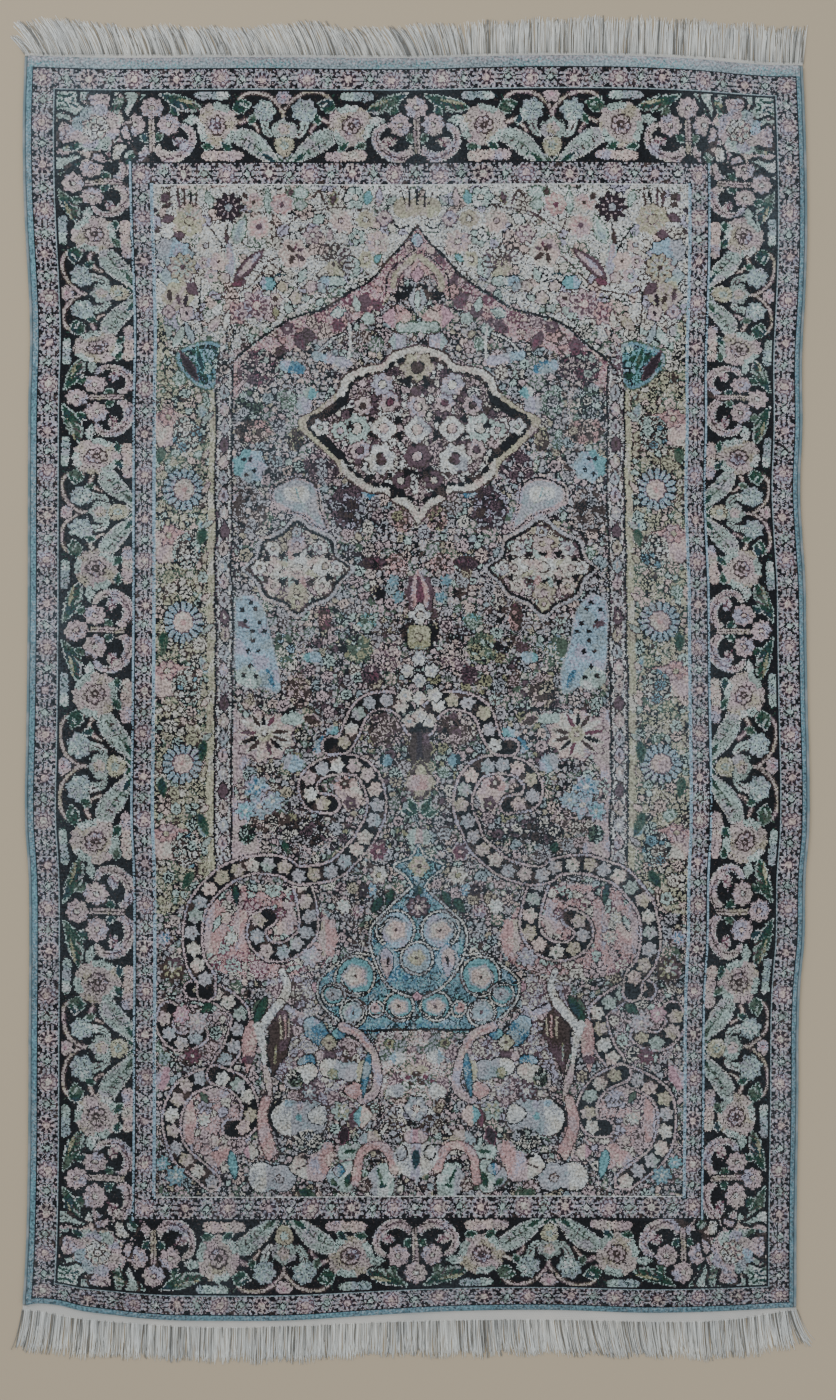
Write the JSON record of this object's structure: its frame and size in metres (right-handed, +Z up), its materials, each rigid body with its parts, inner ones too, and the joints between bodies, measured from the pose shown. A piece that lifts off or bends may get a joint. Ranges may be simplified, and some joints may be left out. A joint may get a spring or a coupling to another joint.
{
  "type": "kashmir rug",
  "caption": "Hand-knotted kashmir rug lying flat: patterned pile with borders, overcast sides and a knotted warp fringe at each end.",
  "frame": {"origin": "middle of the pile's underside, on the floor", "axes": "+Y along the rug's length toward its straighter end, +X across it, +Z up out of the pile"},
  "size_m": [0.9732, 1.6465, 0.0062],
  "materials": {
    "pile": "short silk and wool pile with a soft sheen",
    "side_yarn": "matt overcast wool",
    "warp_yarn": "matt undyed cotton"
  },
  "bodies": {
    "root": {"pile": "pile", "side_cord_left": "side_yarn", "side_cord_right": "side_yarn", "fringe_upper": "warp_yarn", "fringe_lower": "warp_yarn"}
  },
  "joints": []
}
